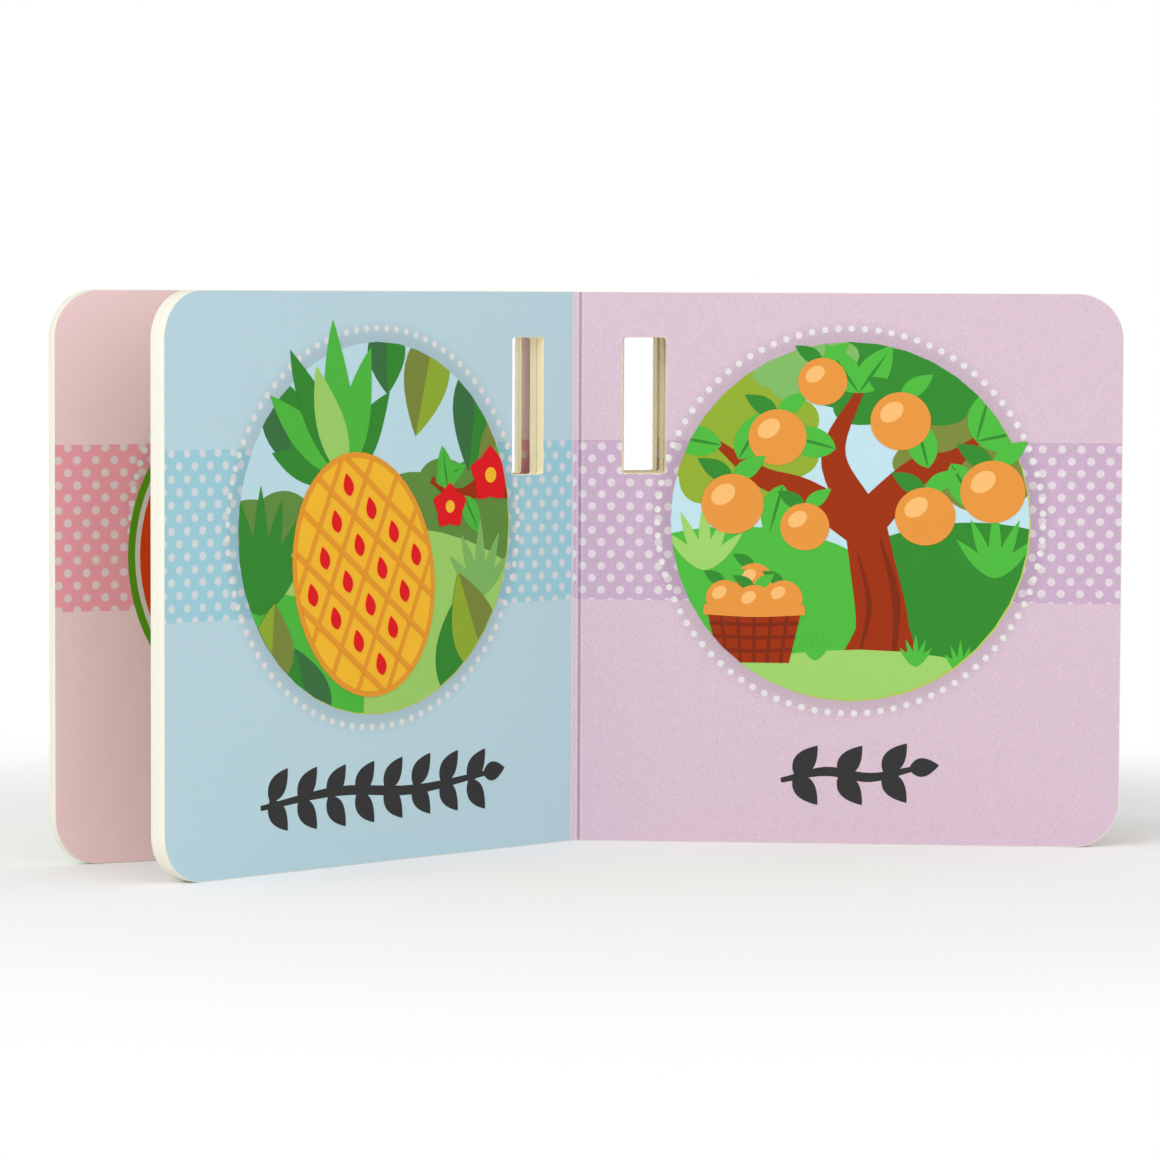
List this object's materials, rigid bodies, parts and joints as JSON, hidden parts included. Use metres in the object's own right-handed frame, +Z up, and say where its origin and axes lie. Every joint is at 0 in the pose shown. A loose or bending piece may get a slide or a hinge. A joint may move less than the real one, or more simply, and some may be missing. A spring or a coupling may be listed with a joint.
{
  "type": "board book",
  "caption": "Small square board book with rounded corners and a die-cut strap slot, standing open in a fan, its covers hinged on card creases.",
  "frame": {"origin": "centre of the standing book's footprint, on the surface that it stands on", "axes": "+Z up along the spine, -Y towards the reader of the open spread, +X along the right-hand pages"},
  "size_m": [0.188, 0.1108, 0.099],
  "materials": {
    "board": "die-cut solid bleached board, matt",
    "cover_card": "laminated card, satin",
    "front_cover_ground": "offset print under satin laminate",
    "front_cover_band": "offset print under satin laminate",
    "front_cover_picture": "offset print under satin laminate",
    "pink_page_ground": "offset print under satin laminate",
    "pink_page_band": "offset print under satin laminate",
    "pink_page_picture": "offset print under satin laminate",
    "green_page_ground": "offset print under satin laminate",
    "green_page_band": "offset print under satin laminate",
    "green_page_picture": "offset print under satin laminate",
    "blue_page_ground": "offset print under satin laminate",
    "blue_page_band": "offset print under satin laminate",
    "blue_page_picture": "offset print under satin laminate",
    "lilac_page_ground": "offset print under satin laminate",
    "lilac_page_band": "offset print under satin laminate",
    "lilac_page_picture": "offset print under satin laminate",
    "yellow_page_ground": "offset print under satin laminate",
    "yellow_page_band": "offset print under satin laminate",
    "peach_page_ground": "offset print under satin laminate",
    "peach_page_band": "offset print under satin laminate",
    "mint_page_ground": "offset print under satin laminate",
    "mint_page_band": "offset print under satin laminate",
    "rose_page_ground": "offset print under satin laminate",
    "rose_page_band": "offset print under satin laminate",
    "sky_page_ground": "offset print under satin laminate",
    "sky_page_band": "offset print under satin laminate",
    "sky_page_picture": "offset print under satin laminate",
    "cream_page_ground": "offset print under satin laminate",
    "cream_page_band": "offset print under satin laminate",
    "cream_page_picture": "offset print under satin laminate",
    "back_cover_ground": "offset print under satin laminate",
    "back_cover_band": "offset print under satin laminate",
    "back_cover_picture": "offset print under satin laminate",
    "blue_page_hills": "offset print under satin laminate",
    "blue_page_pineapple": "offset print under satin laminate",
    "blue_page_crown": "offset print under satin laminate",
    "blue_page_twig": "offset print under satin laminate",
    "lilac_page_hills": "offset print under satin laminate",
    "lilac_page_tree": "offset print under satin laminate",
    "lilac_page_fruit": "offset print under satin laminate",
    "lilac_page_twig": "offset print under satin laminate",
    "pink_page_melon": "offset print under satin laminate"
  },
  "bodies": {
    "pages": {"pages": "board", "spine": "cover_card", "green_page_ground": "green_page_ground", "green_page_band": "green_page_band", "green_page_picture": "green_page_picture", "blue_page_ground": "blue_page_ground", "blue_page_band": "blue_page_band", "blue_page_picture": "blue_page_picture", "lilac_page_ground": "lilac_page_ground", "lilac_page_band": "lilac_page_band", "lilac_page_picture": "lilac_page_picture", "yellow_page_ground": "yellow_page_ground", "yellow_page_band": "yellow_page_band", "peach_page_ground": "peach_page_ground", "peach_page_band": "peach_page_band", "mint_page_ground": "mint_page_ground", "mint_page_band": "mint_page_band", "rose_page_ground": "rose_page_ground", "rose_page_band": "rose_page_band", "sky_page_ground": "sky_page_ground", "sky_page_band": "sky_page_band", "sky_page_picture": "sky_page_picture", "blue_page_hills": "blue_page_hills", "blue_page_pineapple": "blue_page_pineapple", "blue_page_crown": "blue_page_crown", "blue_page_twig": "blue_page_twig", "lilac_page_hills": "lilac_page_hills", "lilac_page_tree": "lilac_page_tree", "lilac_page_fruit": "lilac_page_fruit", "lilac_page_twig": "lilac_page_twig"},
    "front_cover": {"front_cover": "board", "front_cover_ground": "front_cover_ground", "front_cover_band": "front_cover_band", "front_cover_picture": "front_cover_picture", "pink_page_ground": "pink_page_ground", "pink_page_band": "pink_page_band", "pink_page_picture": "pink_page_picture", "pink_page_melon": "pink_page_melon"},
    "back_cover": {"back_cover": "board", "cream_page_ground": "cream_page_ground", "cream_page_band": "cream_page_band", "cream_page_picture": "cream_page_picture", "back_cover_ground": "back_cover_ground", "back_cover_band": "back_cover_band", "back_cover_picture": "back_cover_picture"}
  },
  "joints": [
    {"name": "front_cover_hinge", "type": "hinge", "parent": "pages", "child": "front_cover", "pos_m": [-0.00662, 0.01662, 0.0495], "axis": [0, 0, -1], "range_deg": [-17, 70]},
    {"name": "back_cover_hinge", "type": "hinge", "parent": "pages", "child": "back_cover", "pos_m": [-0.00363, 0.02436, 0.0495], "axis": [0, 0, 1], "range_deg": [-4.5, 80]}
  ]
}
